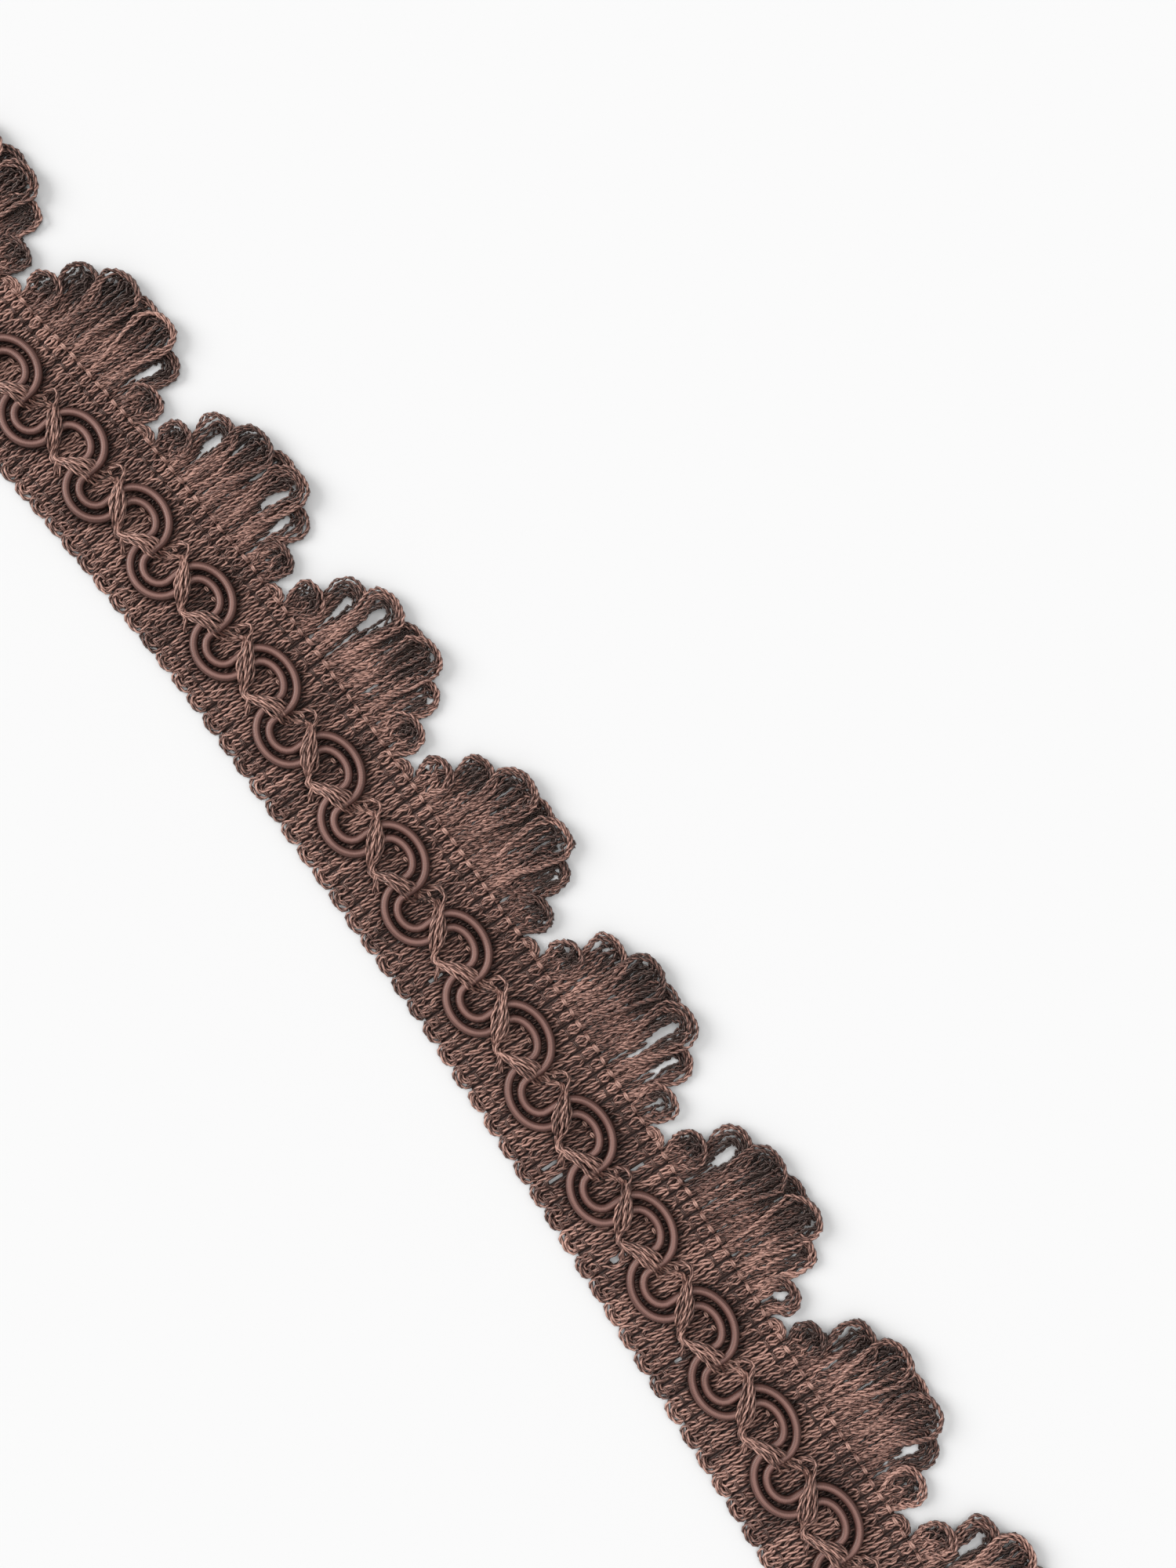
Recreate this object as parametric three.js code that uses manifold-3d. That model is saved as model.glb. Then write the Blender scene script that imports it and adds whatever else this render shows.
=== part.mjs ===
// A length of scalloped galloon trim, lying flat, in millimetres.
//
// X runs along the trim, Y across it from the plain foot to the fringe of loops, and Z up from the
// surface that it lies on. The origin is at the centre of the underside of the whole trim's box.
//
// The trim is a narrow band of weft picks, bound by two chain rows at its foot and two at its head.
// Two satin-wrapped cords lie on it side by side in one wave, a bundle of yarns holds them down in
// a zigzag, and past the head the picks run on as loops, seven to a scallop.
import * as THREE from "three";
import { mergeVertices } from "three/addons/utils/BufferGeometryUtils.js";
import Module from "manifold-3d";

const wasm = await Module();
wasm.setup();

// Driving dimensions.
const SCALLOPS = 9;
const PAIRS = 8; // there-and-back pairs of picks in a scallop, each with one picot and one loop
const WAVES = 2; // periods of the cord's wave in a scallop
const GAP = 0.3; // between pieces that touch in the real trim

// Distances across the trim, from the tips of the foot's picots.
const ACROSS = {
  picotDip: 1.1,
  footOuterRow: 1.8,
  footInnerRow: 3.6,
  bodyStart: 4.9,
  bodyEnd: 21.2,
  headInnerRow: 22.4,
  headOuterRow: 25.4,
  headEdge: 26.0,
};

// Heights of the ground's face on a pick and in the groove beside it.
const HEIGHT = {
  edge: { pick: 0.7, groove: 0.5 },
  row: { pick: 1.8, groove: 1.2 },
  body: { pick: 1.5, groove: 1.1 },
};

// How the length lies: the joints between the scallops, on the head's outer row.
const JOINTS = [
  { along: -187.6, bow: -13.0 },
  { along: -147.9, bow: -7.8 },
  { along: -108.6, bow: -3.4 },
  { along: -68.6, bow: -0.7 },
  { along: -26.3, bow: 0.0 },
  { along: 15.8, bow: 0.0 },
  { along: 58.9, bow: -1.5 },
  { along: 101.6, bow: -3.7 },
  { along: 144.7, bow: -6.0 },
  { along: 187.7, bow: -8.6 },
];

// The satin-wrapped cords: half-ellipses above and below, joined by short straight crossings.
// A share is of one period of the wave, and a rise is in millimetres.
const CORD = {
  diameter: 1.6,
  sides: 5,
  arcSteps: 5,
  crest: 0.62, // where in a scallop the first arc above has its middle, in periods
  upperLine: 14.4,
  lowerLine: 11.4,
};
const CORDS = {
  cord_wide_above: { upper: { share: 0.333, rise: 4.6 }, lower: { share: 0.167, rise: 2.9 } },
  cord_wide_below: { upper: { share: 0.2, rise: 2.3 }, lower: { share: 0.3, rise: 5.2 } },
};

// The bundle of yarns that zigzags over the cords. Each row is a point of its way from a peak down
// to a valley and up again, by its share of a period and its distance across.
const BUNDLE = {
  width: { free: 1.9, crossing: 2.7 },
  thickness: 0.9,
  free: 2.4, // height of its middle where it lies on the ground
  over: 4.25, // and where it crosses the cords
};
const BUNDLE_WAY = [
  { share: 0.0, across: 16.4, lift: 0 },
  { share: 0.1, across: 15.8, lift: 0.35 },
  { share: 0.19, across: 14.7, lift: 1 },
  { share: 0.32, across: 13.1, lift: 1 },
  { share: 0.42, across: 11.3, lift: 0.35 },
  { share: 0.5, across: 9.9, lift: 0 },
  { share: 0.59, across: 10.8, lift: 0.35 },
  { share: 0.68, across: 12.1, lift: 1 },
  { share: 0.81, across: 13.4, lift: 1 },
  { share: 0.91, across: 15.0, lift: 0.35 },
];

// The fringe: a narrow heading, and seven loops to a scallop, each a flat band with two legs. Odd
// and even loops lie in two layers.
const HEADING = { width: 1.0, height: 2.1 };
const LOOP = { bandWidth: 2.1, bandHeight: 0.95, layerRise: 1.1 };
const NOTCH_LOOP = { bandWidth: 0.8, height: 1.9, width: 3.4 }; // the tiny one between two scallops
const LOOPS = [
  { height: 7.5, lean: -0.4, width: 7.4, legs: 3.8 },
  { height: 13.6, lean: -1.8, width: 6.2, legs: 2.7 },
  { height: 18.0, lean: -1.2, width: 7.6, legs: 2.7 },
  { height: 18.3, lean: 0.6, width: 6.8, legs: 2.7 },
  { height: 18.0, lean: 1.8, width: 7.6, legs: 2.7 },
  { height: 14.0, lean: 1.8, width: 6.4, legs: 2.7 },
  { height: 8.0, lean: 0.6, width: 7.2, legs: 3.8 },
];
const UNEVEN = { lean: 0.7, height: 0.5 }; // how far a loop may be from its row above

const yarnBrown = new THREE.MeshStandardMaterial({ color: 0x6b4a41, roughness: 0.62, metalness: 0 });
const cordBrown = new THREE.MeshStandardMaterial({ color: 0x55362f, roughness: 0.35, metalness: 0 });

// A repeatable number from -1 to 1 for a whole number.
function uneven(n) {
  const wave = Math.sin(n * 12.9898 + 4.1414) * 43758.5453;
  return 2 * (wave - Math.floor(wave)) - 1;
}

// The head's outer row and its direction, at t scallops from the cut end at -X.
function rowAt(t) {
  const first = Math.min(Math.max(Math.floor(t), 0), SCALLOPS - 1);
  const slope = (i, key) => {
    const before = JOINTS[Math.max(i - 1, 0)];
    const after = JOINTS[Math.min(i + 1, SCALLOPS)];
    const steps = Math.min(i + 1, SCALLOPS) - Math.max(i - 1, 0);
    return (after[key] - before[key]) / steps;
  };
  const f = t - first;
  const blend = (key) => {
    const a = JOINTS[first][key];
    const b = JOINTS[first + 1][key];
    const m = slope(first, key);
    const n = slope(first + 1, key);
    const rise = b - a;
    const cubic = m + n - 2 * rise;
    const square = 3 * rise - 2 * m - n;
    return { at: a + f * (m + f * (square + f * cubic)), slope: m + f * (2 * square + 3 * f * cubic) };
  };
  const along = blend("along");
  const bow = blend("bow");
  return { x: along.at, y: bow.at, dx: along.slope, dy: bow.slope };
}

// The point at t scallops along, some way across from the picots' tips, and at a height.
function place(t, across, height) {
  const row = rowAt(t);
  const length = Math.hypot(row.dx, row.dy);
  const out = across - ACROSS.headOuterRow;
  return new THREE.Vector3(row.x - (row.dy / length) * out, row.y + (row.dx / length) * out, height);
}

function meshGeometry(points, triangles) {
  const geometry = new THREE.BufferGeometry().setFromPoints(points);
  geometry.setIndex(triangles.flat());
  geometry.computeVertexNormals();
  return geometry;
}

// A closed tube through the points. section(i) gives the ring there as { side, up } offsets, where
// side is level and square to the way, and rings go round anticlockwise seen from its start.
function sweep(points, section) {
  const rings = points.map((point, i) => {
    const before = points[Math.max(i - 1, 0)];
    const after = points[Math.min(i + 1, points.length - 1)];
    const way = after.clone().sub(before).setZ(0).normalize();
    const side = new THREE.Vector3(way.y, -way.x, 0);
    return section(i).map((s) => point.clone().addScaledVector(side, s.side).setZ(point.z + s.up));
  });
  const sides = rings[0].length;
  const last = (rings.length - 1) * sides;
  const triangles = [];
  for (let r = 0; r + 1 < rings.length; r++)
    for (let k = 0; k < sides; k++) {
      const a = r * sides + k;
      const b = r * sides + ((k + 1) % sides);
      triangles.push([a, a + sides, b + sides], [a, b + sides, b]);
    }
  for (let k = 1; k + 1 < sides; k++) triangles.push([0, k, k + 1], [last, last + k + 1, last + k]);
  return meshGeometry(rings.flat(), triangles);
}

// A ring of so many corners, width by height, with one corner on top.
function roundSection(sides, width, height) {
  return Array.from({ length: sides }, (_, k) => {
    const turn = Math.PI / 2 + (2 * Math.PI * k) / sides;
    return { side: (width / 2) * Math.cos(turn), up: (height / 2) * Math.sin(turn) };
  });
}

function boxSection(width, height) {
  const [w, h] = [width / 2, height / 2];
  return [{ side: -w, up: -h }, { side: w, up: -h }, { side: w, up: h }, { side: -w, up: h }];
}

// The ground: picks raised across it, chain rows raised along it, and picots along its foot.
function groundGeometry() {
  const perPair = 4; // columns: a dip, a pick, the groove inside the pair, a pick
  const columns = SCALLOPS * PAIRS * perPair;
  const picot = [ACROSS.picotDip, 0.3, 0, 0.3];
  const rows = [
    { across: null, height: HEIGHT.edge },
    { across: ACROSS.footOuterRow, height: HEIGHT.row },
    { across: ACROSS.footInnerRow, height: HEIGHT.row },
    { across: ACROSS.bodyStart, height: HEIGHT.body },
    { across: ACROSS.bodyEnd, height: HEIGHT.body },
    { across: ACROSS.headInnerRow, height: HEIGHT.row },
    { across: ACROSS.headOuterRow, height: HEIGHT.row },
    { across: ACROSS.headEdge, height: HEIGHT.edge },
  ];
  const points = [];
  for (let c = 0; c <= columns; c++) {
    const t = c / (PAIRS * perPair);
    const kind = c % 2 ? "pick" : "groove";
    const edge = picot[c % perPair];
    for (const row of rows) points.push(place(t, row.across ?? edge, row.height[kind]));
    points.push(place(t, ACROSS.headEdge, 0), place(t, edge, 0));
  }
  const ring = rows.length + 2;
  const triangles = [];
  for (let c = 0; c < columns; c++)
    for (let k = 0; k < ring; k++) {
      const a = c * ring + k;
      const b = c * ring + ((k + 1) % ring);
      triangles.push([a, a + ring, b + ring], [a, b + ring, b]);
    }
  const end = columns * ring;
  for (let k = 1; k + 1 < ring; k++) triangles.push([0, k, k + 1], [end, end + k + 1, end + k]);
  return meshGeometry(points, triangles);
}

// One cord's way along the whole trim, cut at both ends with the ground.
function cordGeometry({ upper, lower }) {
  const height = HEIGHT.body.pick + GAP + CORD.diameter / 2;
  const stations = [];
  for (let wave = -1; wave <= SCALLOPS * WAVES; wave++) {
    const above = wave + CORD.crest;
    for (let i = 0; i <= CORD.arcSteps; i++) {
      const turn = Math.PI * (1 - i / CORD.arcSteps);
      stations.push([above + upper.share * Math.cos(turn), CORD.upperLine + upper.rise * Math.sin(turn)]);
    }
    for (let i = 0; i <= CORD.arcSteps; i++) {
      const turn = Math.PI * (1 - i / CORD.arcSteps);
      const middle = above + 0.5;
      stations.push([middle + lower.share * Math.cos(turn), CORD.lowerLine - lower.rise * Math.sin(turn)]);
    }
  }
  const inside = stations.filter(([period]) => period >= 0.02 && period <= SCALLOPS * WAVES - 0.02);
  const points = inside.map(([period, across]) => place(period / WAVES, across, height));
  const ring = roundSection(CORD.sides, CORD.diameter, CORD.diameter);
  return sweep(points, () => ring);
}

// The zigzag bundle, from the first whole peak to the last.
function bundleGeometry() {
  const points = [];
  const widths = [];
  const peak = CORD.crest - 0.5;
  for (let wave = 0; wave < SCALLOPS * WAVES; wave++)
    for (const step of BUNDLE_WAY) {
      const period = wave + peak + step.share;
      if (period > SCALLOPS * WAVES - 0.03) break;
      const height = THREE.MathUtils.lerp(BUNDLE.free, BUNDLE.over, step.lift);
      points.push(place(period / WAVES, step.across, height));
      widths.push(THREE.MathUtils.lerp(BUNDLE.width.free, BUNDLE.width.crossing, step.lift));
    }
  return sweep(points, (i) => roundSection(6, widths[i], BUNDLE.thickness));
}

// A flat band that goes out from the heading, round and back. The way gives each point's distance
// across, and along from the middle of the loop.
function bandGeometry(t, way, width, layer) {
  const row = rowAt(t);
  const perScallop = Math.hypot(row.dx, row.dy);
  const height = layer * LOOP.layerRise + LOOP.bandHeight / 2;
  const points = way.map((w) => place(t + w.along / perScallop, w.across, height));
  const section = boxSection(width, LOOP.bandHeight);
  return sweep(points, () => section);
}

const ROOT = ACROSS.headEdge + GAP + HEADING.width / 2;

// One loop of the fringe.
function loopGeometry(t, loop, layer) {
  const number = Math.round(t * PAIRS);
  const half = (loop.width - LOOP.bandWidth) / 2;
  const reach = loop.height + UNEVEN.height * uneven(2 * number) - LOOP.bandWidth / 2;
  const lean = loop.lean + UNEVEN.lean * uneven(2 * number + 1);
  const top = ACROSS.headOuterRow + reach;
  const turnStart = Math.max(top - half * 1.15, ROOT + 1);
  const arch = [180, 135, 90, 45, 0].map((degrees) => {
    const turn = THREE.MathUtils.degToRad(degrees);
    const across = turnStart + (top - turnStart) * Math.sin(turn);
    return { across, along: half * Math.cos(turn) + lean * (0.8 + 0.2 * Math.sin(turn)) };
  });
  const legs = [-0.5, 0.5].map((side) => ({ across: ROOT, along: side * loop.legs + 0.35 * lean }));
  return bandGeometry(t, [legs[0], ...arch, legs[1]], LOOP.bandWidth, layer);
}

// The tiny loop between two scallops.
function notchGeometry(t) {
  const half = (NOTCH_LOOP.width - NOTCH_LOOP.bandWidth) / 2;
  const top = ACROSS.headOuterRow + NOTCH_LOOP.height - NOTCH_LOOP.bandWidth / 2;
  const way = [
    { across: ROOT, along: -half },
    { across: top, along: -half / 2 },
    { across: top, along: half / 2 },
    { across: ROOT, along: half },
  ];
  return bandGeometry(t, way, NOTCH_LOOP.bandWidth, 0);
}

// The narrow heading that the loops are rooted in.
function headingGeometry() {
  const columns = SCALLOPS * PAIRS;
  const points = Array.from({ length: columns + 1 }, (_, c) => place(c / PAIRS, ROOT, HEADING.height / 2));
  const section = boxSection(HEADING.width, HEADING.height);
  return sweep(points, () => section);
}

function solidOf(geometry) {
  const bare = new THREE.BufferGeometry();
  bare.setAttribute("position", geometry.getAttribute("position"));
  bare.setIndex(geometry.index);
  const merged = mergeVertices(bare, 1e-4);
  return new wasm.Manifold(
    new wasm.Mesh({
      numProp: 3,
      vertProperties: new Float32Array(merged.attributes.position.array),
      triVerts: new Uint32Array(merged.index.array),
    }),
  );
}

function geometryOf(solid) {
  const { vertProperties, triVerts } = solid.getMesh();
  const geometry = new THREE.BufferGeometry();
  geometry.setAttribute("position", new THREE.BufferAttribute(vertProperties, 3));
  geometry.setIndex(new THREE.BufferAttribute(triVerts, 1));
  geometry.computeVertexNormals();
  return geometry;
}

function fringeGeometry() {
  let fringe = solidOf(headingGeometry());
  for (let scallop = 0; scallop < SCALLOPS; scallop++) {
    if (scallop > 0) fringe = fringe.add(solidOf(notchGeometry(scallop)));
    LOOPS.forEach((loop, i) => {
      const t = scallop + (i + 1) / PAIRS;
      fringe = fringe.add(solidOf(loopGeometry(t, loop, i % 2)));
    });
  }
  return geometryOf(fringe);
}

function named(name, geometry, material) {
  const mesh = new THREE.Mesh(geometry, material);
  mesh.name = name;
  return mesh;
}

const trim = new THREE.Group();
trim.add(named("ground", groundGeometry(), yarnBrown));
trim.add(named("loop_fringe", fringeGeometry(), yarnBrown));
for (const [name, cord] of Object.entries(CORDS)) trim.add(named(name, cordGeometry(cord), cordBrown));
trim.add(named("tie_bundle", bundleGeometry(), yarnBrown));

// The origin goes to the centre of the underside.
const middle = new THREE.Box3().setFromObject(trim, true).getCenter(new THREE.Vector3());
trim.position.set(-middle.x, -middle.y, 0);

export default trim;
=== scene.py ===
"""A length of scalloped galloon trim, lying flat on a pale floor.

The trim's own frame has X along it, Y across it from the plain foot to the looped head, and Z up.
Sizes in the tables are in millimetres, and meshes are in metres. A place on the trim is given by
its scallops along from the cut end at -X, its distance across from the tips of the foot's picots,
and its height above the floor.
"""

import logging
import math
from dataclasses import dataclass, field
from enum import Enum
from typing import Any

import bpy
import numpy as np
from mathutils import Matrix, Vector

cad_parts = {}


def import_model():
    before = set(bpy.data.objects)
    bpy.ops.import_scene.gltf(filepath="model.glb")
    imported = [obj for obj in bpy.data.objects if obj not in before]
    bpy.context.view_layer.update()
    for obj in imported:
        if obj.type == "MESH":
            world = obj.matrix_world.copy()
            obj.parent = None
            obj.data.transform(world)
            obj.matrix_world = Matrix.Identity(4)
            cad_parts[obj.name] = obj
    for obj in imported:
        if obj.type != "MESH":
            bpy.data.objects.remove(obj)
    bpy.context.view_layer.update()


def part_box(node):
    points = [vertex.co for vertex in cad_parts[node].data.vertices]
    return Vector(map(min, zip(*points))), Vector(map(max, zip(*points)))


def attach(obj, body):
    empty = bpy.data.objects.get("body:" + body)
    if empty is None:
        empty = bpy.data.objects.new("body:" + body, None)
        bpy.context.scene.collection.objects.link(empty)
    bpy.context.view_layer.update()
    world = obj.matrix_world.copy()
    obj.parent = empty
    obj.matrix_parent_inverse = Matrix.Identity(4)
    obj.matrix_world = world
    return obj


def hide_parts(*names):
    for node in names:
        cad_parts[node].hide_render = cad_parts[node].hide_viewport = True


log = logging.getLogger("galloon")

MM = 0.001
SCALLOPS = 9
COURSES = 16  # rows of picks in a scallop; a loop or a picot joins each to the next
WAVES = 2  # periods of the cords' wave in a scallop
COURSE_COUNT = SCALLOPS * COURSES
WAVE_COUNT = SCALLOPS * WAVES
COURSE_PITCH = 2.65
WANDER = ((0.5, 0.45), (0.35, 1.0), (0.25, 1.9))  # the waves of a drift: their weights and rates


class Across(Enum):
    """Distances across the trim, from the tips of the picots."""

    FOOT_OUTER = 1.8
    FOOT_INNER = 3.6
    UNDER_CORDS = 15.9
    HEAD_INNER = 22.6
    HEAD_OUTER = 25.4
    HEAD_EDGE = 26.0


# ---- Repeatable unevenness -------------------------------------------------------------------


def uneven(number: int) -> float:
    """A repeatable value from -1 to 1 for a whole number, the same as in the solid fringe."""
    wave = math.sin(number * 12.9898 + 4.1414) * 43758.5453
    return 2 * (wave - math.floor(wave)) - 1


def drift(rng: np.random.Generator, where: np.ndarray, reach: float) -> np.ndarray:
    """Makes a slow wander from -1 to 1 or so.

    Args:
        rng: Where its waves' phases come from.
        where: The distances at which it is wanted.
        reach: How far it takes to change.

    Returns:
        The wander at each distance.
    """
    phases = rng.uniform(0, 2 * math.pi, len(WANDER))
    return sum(
        weight * np.sin(2 * math.pi * where * rate / reach + phase)
        for (weight, rate), phase in zip(WANDER, phases)
    )


# ---- Paths -----------------------------------------------------------------------------------


def smooth_path(points: np.ndarray, steps: int = 8) -> np.ndarray:
    """Passes a Catmull-Rom curve through points.

    Args:
        points: The points, one a row.
        steps: The steps in each stretch between two of them.

    Returns:
        The curve's points.
    """
    ends = np.vstack([2 * points[0] - points[1], points, 2 * points[-1] - points[-2]])
    f = np.linspace(0, 1, steps, endpoint=False)[None, :, None]
    a, b, c, d = (ends[i : len(ends) - 3 + i, None, :] for i in range(4))
    curve = 0.5 * (
        2 * b + (c - a) * f + (2 * a - 5 * b + 4 * c - d) * f**2 + (3 * b - a - 3 * c + d) * f**3
    )
    return np.vstack([curve.reshape(-1, points.shape[1]), points[-1:]])


def even_steps(points: np.ndarray, step: float) -> np.ndarray:
    """Divides a path into equal steps.

    Args:
        points: The path, one point a row, and anything else that changes along it.
        step: The length of a step, in the points' unit.

    Returns:
        The same path with its points that far apart.
    """
    stretches = np.linalg.norm(np.diff(points[:, :3], axis=0), axis=1)
    length = np.concatenate([[0], np.cumsum(stretches)])
    count = max(2, round(length[-1] / step) + 1)
    wanted = np.linspace(0, length[-1], count)
    return np.stack([np.interp(wanted, length, column) for column in points.T], axis=1)


@dataclass(frozen=True)
class Joint:
    """A joint between two scallops, on the head's outer row."""

    along: float
    bow: float


@dataclass
class TrimLine:
    """The gentle bow in which the length lies, and the way from places on it to points."""

    joints: tuple[Joint, ...] = (
        Joint(-187.6, -13.0),
        Joint(-147.9, -7.8),
        Joint(-108.6, -3.4),
        Joint(-68.6, -0.7),
        Joint(-26.3, 0.0),
        Joint(15.8, 0.0),
        Joint(58.9, -1.5),
        Joint(101.6, -3.7),
        Joint(144.7, -6.0),
        Joint(187.7, -8.6),
    )
    rim_steps: int = 32
    rim_dips: tuple[float, ...] = (1.1, 0.3, 0.0, 0.3)  # the solid's foot, by its steps
    shift: np.ndarray = field(default_factory=lambda: np.zeros(2))

    def __post_init__(self) -> None:
        """Works out the line's slope at each joint."""
        self.table = np.array([[joint.along, joint.bow] for joint in self.joints])
        inner = (self.table[2:] - self.table[:-2]) / 2
        first, last = self.table[1] - self.table[0], self.table[-1] - self.table[-2]
        self.slopes = np.vstack([first, inner, last])

    def settle(self, node: str) -> None:
        """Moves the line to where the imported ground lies.

        Args:
            node: The ground's name in the frame.
        """
        t = np.arange(SCALLOPS * self.rim_steps + 1) / self.rim_steps
        dips = np.array(self.rim_dips)[np.arange(len(t)) % len(self.rim_dips)]
        rim = np.vstack([self.place(t, dips, 0), self.place(t, Across.HEAD_EDGE.value, 0)])
        low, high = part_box(node)
        middle = (rim.min(axis=0) + rim.max(axis=0)) / 2
        self.shift = ((np.array(low[:2]) + np.array(high[:2])) / 2 - middle[:2]) / MM

    def row(self, t: np.ndarray) -> tuple[np.ndarray, np.ndarray]:
        """Finds the head's outer row.

        Args:
            t: Scallops along.

        Returns:
            The points of the row, and its slope there for one scallop.
        """
        t = np.atleast_1d(np.asarray(t, float))
        i = np.clip(np.floor(t).astype(int), 0, SCALLOPS - 1)
        f = (t - i)[:, None]
        m, n, rise = self.slopes[i], self.slopes[i + 1], self.table[i + 1] - self.table[i]
        cubic, square = m + n - 2 * rise, 3 * rise - 2 * m - n
        return (
            self.table[i] + f * (m + f * (square + f * cubic)),
            m + f * (2 * square + 3 * f * cubic),
        )

    def place(self, t: Any, across: Any, height: Any, along: Any = 0.0) -> np.ndarray:
        """Turns places on the trim into points.

        Args:
            t: Scallops along.
            across: Distances from the picots' tips.
            height: Heights above the floor.
            along: Further distances along, in millimetres.

        Returns:
            Points in metres, one a row.
        """
        t, across, height, along = np.broadcast_arrays(
            *(np.atleast_1d(np.asarray(v, float)) for v in (t, across, height, along))
        )
        _, slope = self.row(t)
        t = t + along / np.linalg.norm(slope, axis=1)
        points, slope = self.row(t)
        way = slope / np.linalg.norm(slope, axis=1, keepdims=True)
        past = (across - Across.HEAD_OUTER.value)[:, None]
        out = past * np.stack([-way[:, 1], way[:, 0]], axis=1)
        return np.column_stack([points + out + self.shift, height]) * MM

    def turn(self, t: np.ndarray) -> np.ndarray:
        """The row's direction, as an angle from +X."""
        _, slope = self.row(t)
        return np.arctan2(slope[:, 1], slope[:, 0])


# ---- Node trees ------------------------------------------------------------------------------


class Term:
    """A value socket that adds Math nodes where it is used in arithmetic."""

    def __init__(self, graph: "Graph", socket: bpy.types.NodeSocket) -> None:
        """Wraps a socket of a graph."""
        self.graph = graph
        self.socket = socket

    def _with(self, operation: str, *terms: Any) -> "Term":
        """Adds a Math node on the terms, in their order."""
        return self.graph.term("ShaderNodeMath", {"operation": operation}, dict(enumerate(terms)))

    def __add__(self, other: Any) -> "Term":
        """self + other"""
        return self._with("ADD", self, other)

    __radd__ = __add__

    def __sub__(self, other: Any) -> "Term":
        """self - other"""
        return self._with("SUBTRACT", self, other)

    def __rsub__(self, other: Any) -> "Term":
        """other - self"""
        return self._with("SUBTRACT", other, self)

    def __mul__(self, other: Any) -> "Term":
        """self * other"""
        return self._with("MULTIPLY", self, other)

    __rmul__ = __mul__

    def __truediv__(self, other: Any) -> "Term":
        """self / other"""
        return self._with("DIVIDE", self, other)

    def __pow__(self, other: Any) -> "Term":
        """self ** other"""
        return self._with("POWER", self, other)

    def sin(self) -> "Term":
        """The sine of the term."""
        return self._with("SINE", self)

    def cos(self) -> "Term":
        """The cosine of the term."""
        return self._with("COSINE", self)

    def size(self) -> "Term":
        """The term without its sign."""
        return self._with("ABSOLUTE", self)

    def part(self) -> "Term":
        """What is left of the term past a whole number."""
        return self._with("FRACT", self)


class Graph:
    """A node tree being filled."""

    def __init__(self, tree: bpy.types.NodeTree) -> None:
        """Takes the tree to fill."""
        self.tree = tree

    def node(
        self,
        kind: str,
        settings: dict[str, Any] | None = None,
        inputs: dict[Any, Any] | None = None,
    ) -> bpy.types.Node:
        """Adds a node.

        Args:
            kind: The node's type.
            settings: Its settings, which are set first. stops are a ramp's places and colours.
            inputs: Values or links of its sockets, by name or number. A node stands for its first
                output, and a list for several links.

        Returns:
            The node.
        """
        made = self.tree.nodes.new(kind)
        for key, value in (settings or {}).items():
            if key == "stops":
                elements = made.color_ramp.elements
                while len(elements) < len(value):
                    elements.new(1.0)
                for element, (place, colour) in zip(elements, value):
                    element.position, element.color = place, (*colour, 1.0)
            else:
                setattr(made, key, value)
        for key, value in (inputs or {}).items():
            for given in value if isinstance(value, list) else [value]:
                if isinstance(given, Term):
                    given = given.socket
                if isinstance(given, bpy.types.Node):
                    given = given.outputs[0]
                if isinstance(given, bpy.types.NodeSocket):
                    self.tree.links.new(given, made.inputs[key])
                else:
                    made.inputs[key].default_value = given
        return made

    def term(
        self,
        kind: str,
        settings: dict[str, Any] | None = None,
        inputs: dict[Any, Any] | None = None,
        output: Any = 0,
    ) -> Term:
        """Adds a node and wraps one of its outputs."""
        return Term(self, self.node(kind, settings, inputs).outputs[output])

    def vector(self, operation: str, inputs: dict[Any, Any]) -> bpy.types.Node:
        """Adds a Vector Math node."""
        return self.node("ShaderNodeVectorMath", {"operation": operation}, inputs)

    def axis(self, vector: Any, name: str) -> Term:
        """One axis of a vector."""
        return self.term("ShaderNodeSeparateXYZ", inputs={0: vector}, output=name)

    def noise(self, scale: float, detail: float = 2.0, roughness: float = 0.5) -> Term:
        """Noise on the object's own coordinates, in a shader.

        Args:
            scale: How fine it is.
            detail: Its octaves.
            roughness: How strong the finer ones are.

        Returns:
            The noise, from 0 to 1.
        """
        where = self.node("ShaderNodeTexCoord").outputs["Object"]
        inputs = {"Vector": where, "Scale": scale, "Detail": detail, "Roughness": roughness}
        return self.term("ShaderNodeTexNoise", inputs=inputs)

    def attribute(self, name: str) -> Term:
        """Reads a number that the mesh carries, in a shader."""
        return self.term("ShaderNodeAttribute", {"attribute_name": name}, output="Fac")


class Input(Enum):
    """The kinds of input that a geometry tree names."""

    LENGTH = "NodeSocketFloat"
    COUNT = "NodeSocketInt"
    FINISH = "NodeSocketMaterial"


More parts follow.
